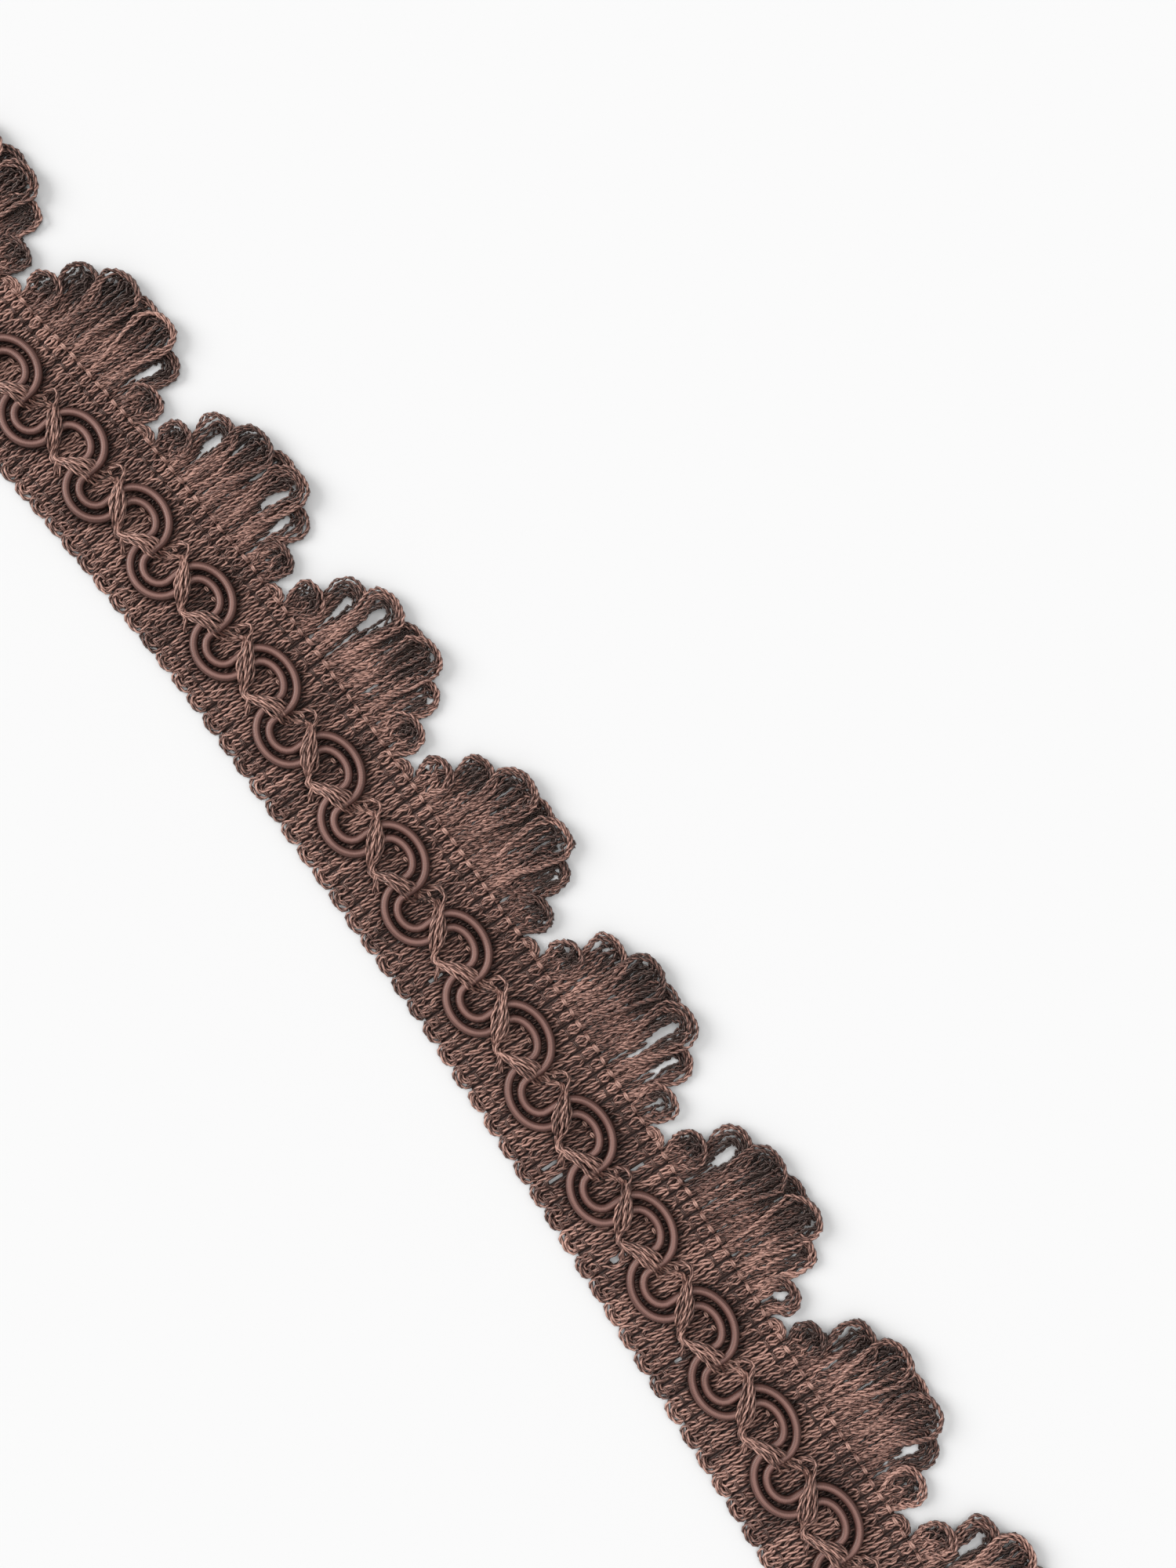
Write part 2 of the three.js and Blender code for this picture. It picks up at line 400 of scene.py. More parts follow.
class GeometryTree:
    """A geometry tree with named inputs, run once on an object and then taken off it."""

    def __init__(self, name: str, inputs: dict[str, Input]) -> None:
        """Makes the tree and its interface.

        Args:
            name: The tree's name.
            inputs: Its inputs past the geometry, by name.
        """
        self.tree = bpy.data.node_groups.new(name, "GeometryNodeTree")
        face = self.tree.interface
        face.new_socket("Geometry", in_out="INPUT", socket_type="NodeSocketGeometry")
        face.new_socket("Geometry", in_out="OUTPUT", socket_type="NodeSocketGeometry")
        self.identifiers = {
            key: face.new_socket(key, in_out="INPUT", socket_type=kind.value).identifier
            for key, kind in inputs.items()
        }
        self.graph = Graph(self.tree)
        self.start = self.graph.node("NodeGroupInput")

    def given(self, key: str) -> Term:
        """One of the tree's inputs."""
        return Term(self.graph, self.start.outputs[key])

    def paths(self) -> bpy.types.Node:
        """The object's edges as curves."""
        return self.graph.node("GeometryNodeMeshToCurve", inputs={0: self.start})

    def measured(self) -> Term:
        """How far along its path each point is."""
        return self.graph.term("GeometryNodeSplineParameter", output="Length")

    def carried(self, name: str) -> Term:
        """A number that the object's points carry."""
        kind = "GeometryNodeInputNamedAttribute"
        return self.graph.term(kind, {"data_type": "FLOAT"}, {"Name": name})

    def stored(self, geometry: Any, name: str, value: Term) -> bpy.types.Node:
        """Keeps a number on each point.

        Args:
            geometry: What has the points.
            name: The number's name.
            value: The number.

        Returns:
            The node that stores it.
        """
        settings = {"data_type": "FLOAT", "domain": "POINT"}
        inputs = {"Geometry": geometry, "Name": name, "Value": value}
        return self.graph.node("GeometryNodeStoreNamedAttribute", settings, inputs)

    def swept(self, curve: Any, radius: str, sides: Any) -> bpy.types.Node:
        """Sweeps a ring along a curve.

        Args:
            curve: The curve.
            radius: The name of the input that holds the ring's radius.
            sides: The ring's corners.

        Returns:
            The node that makes the mesh.
        """
        inputs = {"Resolution": sides, "Radius": self.given(radius)}
        ring = self.graph.node("GeometryNodeCurvePrimitiveCircle", inputs=inputs)
        inputs = {"Curve": curve, "Profile Curve": ring, "Fill Caps": True}
        return self.graph.node("GeometryNodeCurveToMesh", inputs=inputs)

    def finish(self, geometry: bpy.types.Node) -> None:
        """Ends the tree with plain, smooth, dressed geometry.

        Each point of it also carries how far it looks up, from -1 to 1, for the finishes' painted
        highlight on top and painted shade at the sides.

        Args:
            geometry: The node that makes what the tree makes.
        """
        g = self.graph
        real = g.node("GeometryNodeRealizeInstances", inputs={"Geometry": geometry})
        # How far each point looks up, which the finishes turn into painted highlight and painted
        # shade.
        facing = g.axis(g.node("GeometryNodeInputNormal"), "Z")
        faced = self.stored(real, "facing", facing)
        smooth = g.node("GeometryNodeSetShadeSmooth", inputs={"Geometry": faced})
        inputs = {"Geometry": smooth, "Material": self.given("Finish")}
        g.node("NodeGroupOutput", inputs={0: g.node("GeometryNodeSetMaterial", inputs=inputs)})

    def run(self, piece: bpy.types.Object, values: dict[str, Any]) -> bpy.types.Object:
        """Runs the tree on an object and keeps the result as a plain mesh.

        Args:
            piece: The object, which holds the paths or points.
            values: The inputs' values, by name.

        Returns:
            The same object with the new mesh.
        """
        modifier = piece.modifiers.new("Make", "NODES")
        modifier.node_group = self.tree
        for key, value in values.items():
            modifier[self.identifiers[key]] = value
        evaluated = piece.evaluated_get(bpy.context.evaluated_depsgraph_get())
        mesh = bpy.data.meshes.new_from_object(evaluated)
        piece.modifiers.remove(modifier)
        mesh.name = piece.name
        old, piece.data = piece.data, mesh
        bpy.data.meshes.remove(old)
        return piece


class SpunYarnTree(GeometryTree):
    """Lays two plies round each path, twisted to the right, and sweeps them into strands."""

    PLIES = 2

    def __init__(self) -> None:
        """Makes the tree."""
        lengths = dict.fromkeys(("Ply radius", "Ply offset", "Twist pitch"), Input.LENGTH)
        inputs = {**lengths, "Sides": Input.COUNT, "Finish": Input.FINISH}
        super().__init__("two_ply_yarn", inputs)
        g = self.graph
        curve, offset = self.paths(), self.given("Ply offset")
        turned = self.measured() / self.given("Twist pitch") * (2 * math.pi)
        turned = turned + self.carried("start_turn")
        normal, tangent = g.node("GeometryNodeInputNormal"), g.node("GeometryNodeInputTangent")
        side = g.vector("CROSS_PRODUCT", {0: tangent, 1: normal})
        strands = []
        for ply in range(self.PLIES):
            angle = turned + ply * 2 * math.pi / self.PLIES
            up = g.vector("SCALE", {0: normal, "Scale": angle.cos() * offset})
            aside = g.vector("SCALE", {0: side, "Scale": angle.sin() * offset})
            total = g.vector("ADD", {0: up, 1: aside})
            # How high each ply lies round its yarn, from -1 to 1, for the finish's painted
            # highlight on top and painted shade below.
            kept = self.stored(curve, "crest", g.axis(total, "Z") / offset)
            moved = g.node("GeometryNodeSetPosition", inputs={"Geometry": kept, "Offset": total})
            strands.append(self.swept(moved, "Ply radius", self.given("Sides")))
        self.finish(g.node("GeometryNodeJoinGeometry", inputs={0: strands}))


class WrappedCordTree(GeometryTree):
    """Sweeps a round cord along each path, and keeps how far along it each point is."""

    def __init__(self) -> None:
        """Makes the tree."""
        inputs = {"Radius": Input.LENGTH, "Sides": Input.COUNT, "Finish": Input.FINISH}
        super().__init__("wrapped_cord", inputs)
        kept = self.stored(self.paths(), "along", self.measured())
        upright = self.graph.node("GeometryNodeSetCurveNormal", {"mode": "Z_UP"}, {"Curve": kept})
        self.finish(self.swept(upright, "Radius", self.given("Sides")))


class ChainStitchTree(GeometryTree):
    """Sets a link of chain, arched over its course, on each point."""

    LINK_CORNERS = 8
    STRAND_SIDES = 4
    ARCH_POWER = 2.5
    MOST_TILT = 0.16
    WIDTHS = (0.85, 1.15)

    def __init__(self) -> None:
        """Makes the tree."""
        lengths = ("Link length", "Link width", "Arch", "Strand radius")
        inputs = {**dict.fromkeys(lengths, Input.LENGTH), "Seed": Input.COUNT}
        super().__init__("chain_stitch", {**inputs, "Finish": Input.FINISH})
        g = self.graph
        circle = g.node(
            "GeometryNodeCurvePrimitiveCircle",
            inputs={"Resolution": self.LINK_CORNERS, "Radius": 1.0},
        )
        position = g.node("GeometryNodeInputPosition")
        x, y = (g.axis(position, name) for name in "XY")
        bent = g.node(
            "ShaderNodeCombineXYZ",
            inputs={
                "X": x * self.given("Link length") * 0.5,
                "Y": y * self.given("Link width") * 0.5,
                "Z": self.given("Arch") * (1 - x.size() ** self.ARCH_POWER),
            },
        )
        link = g.node("GeometryNodeSetPosition", inputs={"Geometry": circle, "Position": bent})
        tilt = self._random(-self.MOST_TILT, self.MOST_TILT)
        euler = g.node("ShaderNodeCombineXYZ", inputs={"Z": self.carried("turn") + tilt})
        size = {"X": 1.0, "Y": self._random(*self.WIDTHS), "Z": 1.0}
        placed = g.node(
            "GeometryNodeInstanceOnPoints",
            inputs={
                "Points": self.start,
                "Instance": self.swept(link, "Strand radius", self.STRAND_SIDES),
                "Rotation": g.node("FunctionNodeEulerToRotation", inputs={0: euler}),
                "Scale": g.node("ShaderNodeCombineXYZ", inputs=size),
            },
        )
        self.finish(placed)

    def _random(self, low: float, high: float) -> Term:
        """Draws a number for each link, by the tree's seed.

        Args:
            low: The least that it can be.
            high: The most that it can be.

        Returns:
            The number.
        """
        made = self.graph.node("FunctionNodeRandomValue", {"data_type": "FLOAT"})
        sockets = {socket.identifier: socket for socket in made.inputs}
        sockets["Min_001"].default_value = low
        sockets["Max_001"].default_value = high
        self.graph.tree.links.new(self.given("Seed").socket, sockets["Seed"])
        value = next(socket for socket in made.outputs if socket.identifier == "Value_001")
        return Term(self.graph, value)


# ---- Finishes --------------------------------------------------------------------------------

Colour = tuple[float, float, float]


@dataclass(frozen=True)
class Looks:
    """What a finish's shader is given."""

    tone: Term
    stops: list[tuple[float, Colour]]
    relief: Term
    strength: float
    distance: float
    gloss: dict[str, Any]


class Finish:
    """A surface whose colour follows a tone, with fine relief."""

    name: str

    def looks(self, g: Graph) -> Looks:
        """Says what the shader is given, in the material's graph."""
        raise NotImplementedError

    def material(self) -> bpy.types.Material:
        """Makes the material."""
        made = bpy.data.materials.new(self.name)
        made.use_nodes = True
        made.node_tree.nodes.clear()
        g = Graph(made.node_tree)
        looks = self.looks(g)
        ramp = g.node("ShaderNodeValToRGB", {"stops": looks.stops}, {"Fac": looks.tone})
        relief = {"Height": looks.relief, "Strength": looks.strength, "Distance": looks.distance}
        bump = g.node("ShaderNodeBump", inputs=relief)
        inputs = {"Base Color": ramp.outputs["Color"], "Normal": bump, **looks.gloss}
        shader = g.node("ShaderNodeBsdfPrincipled", inputs=inputs)
        g.node("ShaderNodeOutputMaterial", inputs={0: shader})
        return made


@dataclass(frozen=True)
class YarnFinish(Finish):
    """Glossy brown two-ply yarn, some of it lighter, with fine fibres."""

    name: str
    dark: Colour
    middle: Colour
    light: Colour
    roughness: float = 0.34
    sheen: float = 0.1

    def looks(self, g: Graph) -> Looks:
        """Lightens the yarn by its own tone and by patches and flecks, paints a highlight on the
        plies' crests and where it looks up, and paints shade where it looks sideways or down.

        Args:
            g: The material's graph.

        Returns:
            What the shader is given.
        """
        tone = g.attribute("tone") * 0.5 + g.noise(110.0) * 0.4 + g.noise(1400.0) * 0.6 - 0.34
        # Painted highlight where the plies' crests and the surface look up, painted shade where
        # they look sideways or down.
        tone = tone + g.attribute("crest") * 0.26 + g.attribute("facing") * 0.4 - 0.16
        gloss = {
            "Roughness": self.roughness,
            "Specular IOR Level": 0.9,
            "Specular Tint": (1.0, 0.8, 0.72, 1.0),
            "Sheen Weight": self.sheen,
            "Sheen Roughness": 0.4,
            "Sheen Tint": (1.0, 0.82, 0.74, 1.0),
        }
        stops = [(0.15, self.dark), (0.5, self.middle), (0.9, self.light)]
        return Looks(tone, stops, g.noise(5200.0, 3.0, 0.6), 0.35, 0.00012, gloss)


YARN = YarnFinish(
    "two_ply_yarn", (0.02, 0.009, 0.008), (0.155, 0.072, 0.057), (0.62, 0.35, 0.28)
)
STITCH_YARN = YarnFinish(
    "stitch_yarn", (0.05, 0.023, 0.019), (0.2, 0.1, 0.08), (0.62, 0.36, 0.29)
)


@dataclass(frozen=True)
class WrappedCordFinish(Finish):
    """Satin thread wound closely round a core, with a painted highlight along the cord's crest and
    painted shade down its sides.
    """

    name: str = "satin_wrapped_cord"
    # Painted shade, where the cord looks sideways or down.
    side: Colour = (0.016, 0.007, 0.006)
    thread: Colour = (0.105, 0.046, 0.038)
    # Painted highlight, where the cord looks straight up.
    crest: Colour = (0.27, 0.14, 0.118)
    thread_pitch: float = 0.3
    roughness: float = 0.3

    def looks(self, g: Graph) -> Looks:
        """Draws the turns of the thread, paints a highlight where the cord looks up, and paints
        shade where it looks sideways or down.

        Args:
            g: The material's graph.

        Returns:
            What the shader is given.
        """
        ridge = (g.attribute("along") * (math.pi / (self.thread_pitch * MM))).sin().size()
        tone = g.attribute("facing") + ridge * 0.08 - 0.05 + (g.noise(160.0) - 0.5) * 0.14
        # Painted shade at the sides, the thread's own colour over the top, and a painted highlight
        # along the crest.
        stops = [(0.2, self.side), (0.7, self.thread), (0.91, self.thread), (0.97, self.crest)]
        gloss = {
            "Roughness": self.roughness,
            "Specular IOR Level": 0.7,
            "Specular Tint": (1.0, 0.78, 0.7, 1.0),
        }
        return Looks(tone, stops, ridge, 0.5, 0.00004, gloss)


@dataclass(frozen=True)
class GroundFinish(Finish):
    """The inside and back of the ground: the same yarns, seen as close ribs of slanting plies."""

    name: str = "ground_back"
    dark: Colour = (0.016, 0.008, 0.007)
    middle: Colour = (0.09, 0.042, 0.032)
    roughness: float = 0.6
    ply_length: float = 1.2
    ply_shift: float = 0.7

    def looks(self, g: Graph) -> Looks:
        """Draws the ribs and the plies on them, with painted shade in the grooves between them.

        Args:
            g: The material's graph.

        Returns:
            What the shader is given.
        """
        flat = g.node("ShaderNodeUVMap", {"uv_map": "flat"})
        yarn, across = (g.axis(flat, name) for name in "XY")
        lobe = (yarn * math.pi).sin().size()
        slant = across / self.ply_length + yarn.part() * self.ply_shift
        ply = (slant * math.pi).sin().size()
        relief = lobe * 0.7 + ply * lobe * 0.5
        # The colour follows the relief: painted shade in the grooves between the ribs and between
        # the plies.
        stops = [(0.25, self.dark), (1.0, self.middle)]
        return Looks(relief, stops, relief, 0.8, 0.0002, {"Roughness": self.roughness})


# ---- Pieces ----------------------------------------------------------------------------------


def linked(piece: bpy.types.Object) -> bpy.types.Object:
    """Puts a new object in the scene."""
    bpy.context.scene.collection.objects.link(piece)
    return piece


def bare(name: str, points: np.ndarray, edges: np.ndarray, carried: dict) -> bpy.types.Object:
    """Makes an object of bare points and edges.

    Args:
        name: Its name.
        points: Its points in metres.
        edges: The two points of each edge.
        carried: The numbers that its points carry, by name.

    Returns:
        The object.
    """
    mesh = bpy.data.meshes.new(name)
    mesh.vertices.add(len(points))
    mesh.vertices.foreach_set("co", points.astype(np.float32).ravel())
    mesh.edges.add(len(edges))
    mesh.edges.foreach_set("vertices", edges.astype(np.int32).ravel())
    for key, values in carried.items():
        layer = mesh.attributes.new(key, "FLOAT", "POINT")
        layer.data.foreach_set("value", values.astype(np.float32))
    return linked(bpy.data.objects.new(name, mesh))


@dataclass
class Strands:
    """Paths for yarns to follow, each point of them with its tone from 0 to 1."""

    rng: np.random.Generator
    paths: list[np.ndarray] = field(default_factory=list)

    def add(self, path: np.ndarray, tone: float) -> None:
        """Adds a path.

        Args:
            path: Its points, and where it has a fourth column, the painted shade that darkens it
                there.
            tone: The yarn's tone.
        """
        # Painted shade lowers the yarn's tone.
        shade = path[:, 3] if path.shape[1] > 3 else np.zeros(len(path))
        self.paths.append(np.column_stack([path[:, :3], tone - shade]))

    def object(self, name: str) -> bpy.types.Object:
        """Makes an object of bare edges along the paths.

        Args:
            name: Its name.

        Returns:
            The object.
        """
        counts = np.array([len(path) for path in self.paths])
        points = np.concatenate(self.paths)
        joined = np.ones(len(points), bool)
        joined[np.cumsum(counts) - 1] = False
        firsts = np.nonzero(joined)[0]
        edges = np.stack([firsts, firsts + 1], axis=1)
        turns = np.repeat(self.rng.uniform(0, 2 * math.pi, len(counts)), counts)
        return bare(name, points[:, :3], edges, {"tone": points[:, 3], "start_turn": turns})


@dataclass
class Workshop:
    """What every sub-assembly is made with: the line, the trees and the finishes."""

    line: TrimLine
    yarn_tree: SpunYarnTree
    cord_tree: WrappedCordTree
    stitch_tree: ChainStitchTree
    yarn: bpy.types.Material
    stitch: bpy.types.Material
    cord: bpy.types.Material
    back: bpy.types.Material
    ply_radius: float = 0.25  # in widths of the yarn
    ply_offset: float = 0.255

    def spin(
        self, strands: Strands, name: str, pitch: float, width: float, sides: int = 4
    ) -> bpy.types.Object:
        """Spins two-ply yarn along the paths.

        Args:
            strands: The paths.
            name: The piece's name.
            pitch: How far a ply goes in one turn.
            width: The yarn's width over both plies.
            sides: The corners of a ply.

        Returns:
            The yarns as one object.
        """
        values = {
            "Ply radius": self.ply_radius * width * MM,
            "Ply offset": self.ply_offset * width * MM,
            "Twist pitch": pitch * MM,
            "Sides": sides,
            "Finish": self.yarn,
        }
        return self.yarn_tree.run(strands.object(name), values)


@dataclass(frozen=True)
class Arc:
    """Half an ellipse of a cord: its half-width in periods and its rise."""

    share: float
    rise: float


@dataclass(frozen=True)
class CordWay:
    """One cord's wave."""

    name: str
    upper: Arc
    lower: Arc
    crest: float = 0.62
    upper_line: float = 14.4
    lower_line: float = 11.4

    def flat(self, first: int, last: int, steps: int = 14) -> np.ndarray:
        """Finds the wave's points.

        Args:
            first: The first period.
            last: The last period.
            steps: Steps in each arc.

        Returns:
            Periods along and distances across, one point a row.
        """
        turn = np.pi * (1 - np.arange(steps + 1) / steps)
        stations = []
        for wave in range(first, last + 1):
            middle = wave + self.crest
            for arc, line, side, at in (
                (self.upper, self.upper_line, 1, middle),
                (self.lower, self.lower_line, -1, middle + 0.5),
            ):
                across = line + side * arc.rise * np.sin(turn)
                stations.append(np.column_stack([at + arc.share * np.cos(turn), across]))
        return np.concatenate(stations)


CORD_WAYS = (
    CordWay("cord_wide_above", Arc(0.333, 5.4), Arc(0.167, 2.9)),
    CordWay("cord_wide_below", Arc(0.2, 3.0), Arc(0.3, 5.2)),
)


@dataclass(frozen=True)
class Pit:
    """A hollow where the tie goes in and out of the ground: its share of a period, and its size."""

    share: float
    across: float
    radius: float
    depth: float = 1.2  # where a cord's is 1


PITS = (Pit(0.02, 16.3, 1.0), Pit(0.43, 9.9, 1.0), Pit(0.52, 9.0, 0.7), Pit(0.93, 14.4, 1.1))


class CordPress:
    """How much the cords and the tie press the ground down, over one period of their wave."""

    PERIOD = 21.2
    COLUMNS, ROWS, ROW_STEP = 96, 140, 0.2
    CORD_STEPS = 40

    def __init__(self, crest: float, reach: float = 1.15) -> None:
        """Works out the hollows over one period.

        Args:
            crest: Where the tie's peaks are, in periods.
            reach: How far from a cord the ground comes up again.
        """
        cords = np.concatenate([way.flat(-1, 2, self.CORD_STEPS) for way in CORD_WAYS])
        cords = cords * (self.PERIOD, 1)
        x, y = np.meshgrid(
            (np.arange(self.COLUMNS) + 0.5) / self.COLUMNS * self.PERIOD,
            np.arange(self.ROWS) * self.ROW_STEP,
            indexing="ij",
        )
        spots = np.stack([x.ravel(), y.ravel()], axis=1)
        gap = np.min(np.linalg.norm(spots[:, None] - cords[None], axis=2), axis=1).reshape(x.shape)
        self.hollow = np.exp(-((gap / reach) ** 2))
        for pit in PITS:
            away = np.abs(x / self.PERIOD - crest - pit.share)
            away = np.minimum(away % 1, 1 - away % 1) * self.PERIOD
            near = np.hypot(away, y - pit.across) / pit.radius
            self.hollow = np.maximum(self.hollow, pit.depth * np.exp(-(near**2)))

    def at(self, t: np.ndarray, across: np.ndarray) -> np.ndarray:
        """Finds how far the ground is hollowed.

        Args:
            t: Scallops along.
            across: Distances across.

        Returns:
            The hollow at each place, 1 under a cord.
        """
        column = ((t * WAVES) % 1 * self.COLUMNS).astype(int) % self.COLUMNS
        row = np.clip(np.round(across / self.ROW_STEP).astype(int), 0, self.ROWS - 1)
        return self.hollow[column, row]


@dataclass(frozen=True)
class Slit:
    """A place where the picks part, and the floor shows through the ground."""

    scallops: float
    across: float
    length: float
    width: float = 0.7
    yarn_width: float = 0.72
    ease: float = 1.2  # past each end, where the picks come together again

    def part(self, t: float, along: np.ndarray, across: np.ndarray) -> np.ndarray:
        """Says how far a yarn is pushed aside.

        Args:
            t: The scallops along of the yarn's course.
            along: The yarn's distances from its course's middle.
            across: Its distances across.

        Returns:
            The push along the trim at each distance.
        """
        gap = (t - self.scallops) * COURSES * COURSE_PITCH + float(np.mean(along))
        room = self.width / 2 + self.yarn_width / 2
        push = math.copysign(math.hypot(gap, room) - abs(gap), gap)
        past = (across - self.across) / (self.length / 2 + self.ease)
        return push * np.clip(1 - past**2, 0, 1) ** 0.5


SLITS = (
    Slit(2.422, 8.1, 2.4),
    Slit(4.866, 7.3, 2.8),
    Slit(5.85, 6.4, 4.2, 0.8),
    Slit(5.915, 6.2, 3.2),
    Slit(6.067, 19.4, 3.6, 0.6),
    Slit(6.361, 7.4, 2.4),
    Slit(6.882, 7.1, 2.4),
)


@dataclass
class GroundCore:
    """The closed inner sheet of the ground, which the picks lie round, down to its ribbed back."""

    shop: Workshop
    top: float = 0.62
    rib: float = 0.1
    underside: float = 0.02
    back_ribs: int = 4  # in a course
    columns_per_course: int = 4
    rows: int = 17
    inset: float = 0.009  # of each cut end, in scallops
    foot: float = 0.75  # at the picots' roots, and as much again between them
    edge_inset: float = 0.1
    foot_thinning: float = 0.25
    slit_reach: float = 0.45

    def rings(self, t: np.ndarray) -> tuple[np.ndarray, np.ndarray]:
        """Finds the sheet's points.

        Args:
            t: The columns' scallops along.

        Returns:
            The points by side, row and column, and their places in ribs along and millimetres
            across.
        """
        foot = self.foot + self.foot * np.abs(np.cos(np.pi * t * COURSES / 2)) ** 3
        edge = Across.HEAD_EDGE.value - self.edge_inset
        rib = self.rib * np.abs(np.sin(np.pi * t * COURSES))
        points, flat = [], []
        for upper in (True, False):
            for share in np.linspace(0, 1, self.rows):
                across = foot + (edge - foot) * share
                thin = self.foot_thinning if share == 0 else 0.0
                top, under = self.top + rib - thin, self.underside + self.rib - rib + thin / 3
                points.append(self.shop.line.place(t, across, top if upper else under))
                flat.append(np.stack([t * COURSES * self.back_ribs, across], axis=1))
        shape = (2, self.rows, len(t), -1)
        return np.stack(points).reshape(shape), np.stack(flat).reshape(shape)

    def kept(self, t: np.ndarray, across: np.ndarray) -> np.ndarray:
        """Finds the cells of the sheet that no slit cuts through.

        Args:
            t: The columns' scallops along.
            across: The top's distances across, by row and column.

        Returns:
            Whether each cell is there, with a border of cells that aren't.
        """
        middle = (t[1:] + t[:-1]) / 2
        across = (across[1:, 1:] + across[:-1, :-1]) / 2
        solid = np.ones((self.rows + 1, len(t) + 1), bool)
        solid[[0, -1]] = False
        solid[:, [0, -1]] = False
        for slit in SLITS:
            along = np.abs(middle - slit.scallops) * COURSES * COURSE_PITCH < self.slit_reach
            solid[1:-1, 1:-1] &= ~(along & (np.abs(across - slit.across) < slit.length / 2))
        return solid

    def build(self) -> bpy.types.Object:
        """Makes the sheet, with a hole at each slit."""
        count = COURSE_COUNT * self.columns_per_course + 1
        t = np.arange(count) / (COURSES * self.columns_per_course)
        t[0], t[-1] = self.inset, SCALLOPS - self.inset
        points, flat = self.rings(t)
        solid = self.kept(t, flat[0, :, :, 1])
        number = np.arange(2 * self.rows * count).reshape(2, self.rows, count)
        faces = []
        for r, c in zip(*np.nonzero(solid)):
            (a, b), (d, e) = number[0, r - 1 : r + 1, c - 1 : c + 1].tolist()
            (f, g), (h, i) = number[1, r - 1 : r + 1, c - 1 : c + 1].tolist()
            faces += [(a, b, e, d), (f, h, i, g)]
            for row, column, wall in (
                (r - 1, c, (a, f, g, b)),
                (r + 1, c, (d, e, i, h)),
                (r, c - 1, (a, d, h, f)),
                (r, c + 1, (b, g, i, e)),
            ):
                if not solid[row, column]:
                    faces.append(wall)
        mesh = bpy.data.meshes.new("ground_core")
        mesh.from_pydata(points.reshape(-1, 3).tolist(), [], faces)
        layer = mesh.uv_layers.new(name="flat")
        loops = np.empty(len(mesh.loops), np.int32)
        mesh.loops.foreach_get("vertex_index", loops)
        layer.data.foreach_set("uv", flat.reshape(-1, 2)[loops].astype(np.float32).ravel())
        mesh.shade_smooth()
        mesh.materials.append(self.shop.back)
        return linked(bpy.data.objects.new("ground_core", mesh))


BOUND = (
    (Across.FOOT_OUTER, 0.25),
    (Across.FOOT_INNER, 0.65),
    (Across.HEAD_INNER, 1.0),
    (Across.HEAD_OUTER, 1.0),
)
BOUND_REACH = 0.6
HEADING_HOLD = 0.1


def pinch(across: np.ndarray) -> np.ndarray:
    """Finds how tightly the chain rows gather a course.

    Args:
        across: Distances across.

    Returns:
        The hold at each, from 0 to 1.
    """
    held = sum(firm * np.exp(-(((across - row.value) / BOUND_REACH) ** 2)) for row, firm in BOUND)
    between = np.clip((across - Across.HEAD_INNER.value) / 0.5, 0, 1)
    return np.clip(held + HEADING_HOLD * between, 0, 1)


